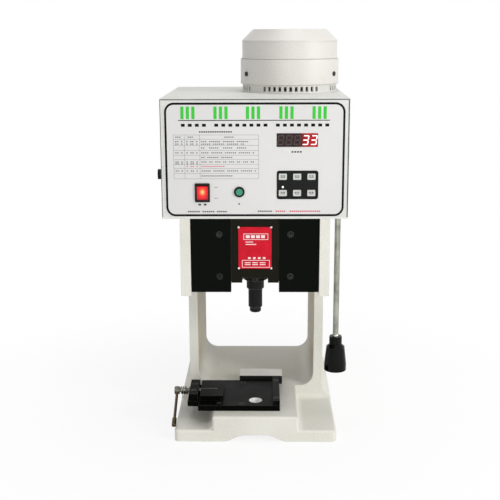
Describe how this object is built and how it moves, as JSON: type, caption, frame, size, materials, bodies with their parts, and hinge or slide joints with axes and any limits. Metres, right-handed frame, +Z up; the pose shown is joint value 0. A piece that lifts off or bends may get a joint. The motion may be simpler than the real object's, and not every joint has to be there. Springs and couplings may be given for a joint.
{
  "type": "terminal crimping machine",
  "caption": "Bench press with a cast frame, worm and crank drive to a guided ram, an upright motor, a control box, a quick-change tool base and a work lamp.",
  "frame": {"origin": "middle of the bounding box at the level of the bench, under the machine", "axes": "+Z up, -Y towards the operator at the control panel, +X to the operator's right"},
  "size_m": [0.321, 0.3734, 0.6995],
  "materials": {
    "casting_paint": "semi-gloss",
    "brass": "machined",
    "black_steel": "black oxide",
    "screw_steel": "black oxide",
    "red_paint": "gloss",
    "bright_steel": "ground",
    "rivet_steel": "polished",
    "bronze": "machined",
    "hub_iron": "machined",
    "cast_alloy": "cast",
    "motor_paint": "semi-gloss",
    "winding": "laminated",
    "fan_plastic": "moulded",
    "box_paint": "textured powder coat",
    "overlay_film": "printed film",
    "smoked_window": "clear, dark",
    "led_block": "moulded",
    "black_plastic": "moulded",
    "key_plastic": "moulded",
    "red_plastic": "moulded",
    "green_plastic": "moulded",
    "board": "solder mask",
    "transformer_iron": "varnished",
    "drive_case": "moulded",
    "neck_steel": "spiral wound",
    "shade_paint": "semi-gloss",
    "lens": "frosted",
    "plate_steel": "black oxide",
    "lever_steel": "oiled"
  },
  "bodies": {
    "frame": {"frame_casting": "casting_paint", "slide_gibs": "brass", "left_front_plate": "black_steel", "right_front_plate": "black_steel", "socket_screws": "screw_steel", "bearings": "bronze", "rear_cover": "casting_paint", "motor_pedestal": "casting_paint", "motor_end_shield": "cast_alloy", "motor_housing": "motor_paint", "motor_cap": "motor_paint", "motor_screws": "screw_steel", "stator": "winding", "box_shell": "box_paint", "front_panel": "box_paint", "panel_overlay": "overlay_film", "display_window": "smoked_window", "led_modules": "led_block", "keypad_base": "black_plastic", "control_bezels": "black_plastic", "circuit_board": "board", "transformer": "transformer_iron", "motor_drive": "drive_case", "side_socket": "black_plastic", "power_inlet": "black_plastic", "lamp_ferrule": "shade_paint", "applicator_plate": "plate_steel", "right_rail": "plate_steel", "floor_disc": "bright_steel", "rear_stop": "bright_steel", "clamp_bracket": "plate_steel"},
    "slide": {"ram_slide": "black_steel", "guard_plate": "red_paint", "guard_rivets": "rivet_steel"},
    "nut": {"adjusting_nut": "black_steel"},
    "ram": {"ram": "black_steel"},
    "crank": {"crankshaft": "bright_steel", "crank_roller": "bright_steel", "wheel_hub": "hub_iron", "wheel_rim": "bronze"},
    "worm_line": {"worm": "bright_steel", "worm_shaft": "bright_steel", "shaft_coupling": "bright_steel", "motor_rotor": "bright_steel", "motor_fan": "fan_plastic"},
    "clamp_screw": {"clamp_screw": "bright_steel", "clamp_spring": "bright_steel", "clamp_lever": "lever_steel"},
    "clamp_jaw": {"clamp_jaw": "plate_steel"},
    "power_switch": {"power_switch": "red_plastic"},
    "green_button": {"green_button": "green_plastic"},
    "lamp_neck": {"lamp_neck": "neck_steel"},
    "lamp_head": {"lamp_shade": "shade_paint", "lamp_lens": "lens"},
    "key_1": {"key_1": "key_plastic"},
    "key_2": {"key_2": "key_plastic"},
    "key_3": {"key_3": "key_plastic"},
    "key_4": {"key_4": "key_plastic"},
    "key_5": {"key_5": "key_plastic"},
    "key_6": {"key_6": "key_plastic"}
  },
  "joints": [
    {"name": "slide_stroke", "type": "slide", "parent": "frame", "child": "slide", "axis": [0, 0, 1], "range_m": [-0.03, 0]},
    {"name": "nut_turn", "type": "hinge", "parent": "slide", "child": "nut", "pos_m": [0, -0.13225, 0.2795], "axis": [0, 0, 1], "range_deg": [0, 540]},
    {"name": "ram_height", "type": "slide", "parent": "slide", "child": "ram", "axis": [0, 0, 1], "range_m": [-0.003, 0]},
    {"name": "crank_turn", "type": "hinge", "parent": "frame", "child": "crank", "pos_m": [0, 0.02475, 0.33], "axis": [0, 1, 0], "continuous": true},
    {"name": "worm_turn", "type": "hinge", "parent": "frame", "child": "worm_line", "pos_m": [0.061, 0.02475, 0.33], "axis": [0, 0, 1], "continuous": true},
    {"name": "clamp_turn", "type": "hinge", "parent": "frame", "child": "clamp_screw", "pos_m": [-0.1425, -0.10125, 0.062], "axis": [-1, 0, 0], "range_deg": [0, 120]},
    {"name": "jaw_slide", "type": "slide", "parent": "frame", "child": "clamp_jaw", "axis": [1, 0, 0], "range_m": [0, 0.002]},
    {"name": "power_rocker", "type": "hinge", "parent": "frame", "child": "power_switch", "pos_m": [-0.0856, -0.17925, 0.4396], "axis": [1, 0, 0], "range_deg": [-18, 0]},
    {"name": "green_press", "type": "slide", "parent": "frame", "child": "green_button", "axis": [0, 1, 0], "range_m": [0, 0.0025], "stiffness_N_per_m": 300, "springref_m": -0.001},
    {"name": "key_1_press", "type": "slide", "parent": "frame", "child": "key_1", "axis": [0, 1, 0], "range_m": [0, 0.0008], "stiffness_N_per_m": 600, "springref_m": -0.0004},
    {"name": "key_2_press", "type": "slide", "parent": "frame", "child": "key_2", "axis": [0, 1, 0], "range_m": [0, 0.0008], "stiffness_N_per_m": 600, "springref_m": -0.0004},
    {"name": "key_3_press", "type": "slide", "parent": "frame", "child": "key_3", "axis": [0, 1, 0], "range_m": [0, 0.0008], "stiffness_N_per_m": 600, "springref_m": -0.0004},
    {"name": "key_4_press", "type": "slide", "parent": "frame", "child": "key_4", "axis": [0, 1, 0], "range_m": [0, 0.0008], "stiffness_N_per_m": 600, "springref_m": -0.0004},
    {"name": "key_5_press", "type": "slide", "parent": "frame", "child": "key_5", "axis": [0, 1, 0], "range_m": [0, 0.0008], "stiffness_N_per_m": 600, "springref_m": -0.0004},
    {"name": "key_6_press", "type": "slide", "parent": "frame", "child": "key_6", "axis": [0, 1, 0], "range_m": [0, 0.0008], "stiffness_N_per_m": 600, "springref_m": -0.0004},
    {"name": "lamp_swing", "type": "hinge", "parent": "frame", "child": "lamp_neck", "pos_m": [0.141, -0.12325, 0.384], "axis": [0, -1, 0], "range_deg": [0, 40]},
    {"name": "lamp_tilt", "type": "hinge", "parent": "lamp_neck", "child": "lamp_head", "pos_m": [0.141, -0.12325, 0.174], "axis": [1, 0, 0], "range_deg": [-30, 30]}
  ],
  "couplings": [
    {"joint": "ram_height", "follows": "nut_turn", "m_per_rad": -0.0003183},
    {"joint": "worm_turn", "follows": "crank_turn", "ratio": 30},
    {"joint": "jaw_slide", "follows": "clamp_turn", "m_per_rad": 0.0009549}
  ]
}
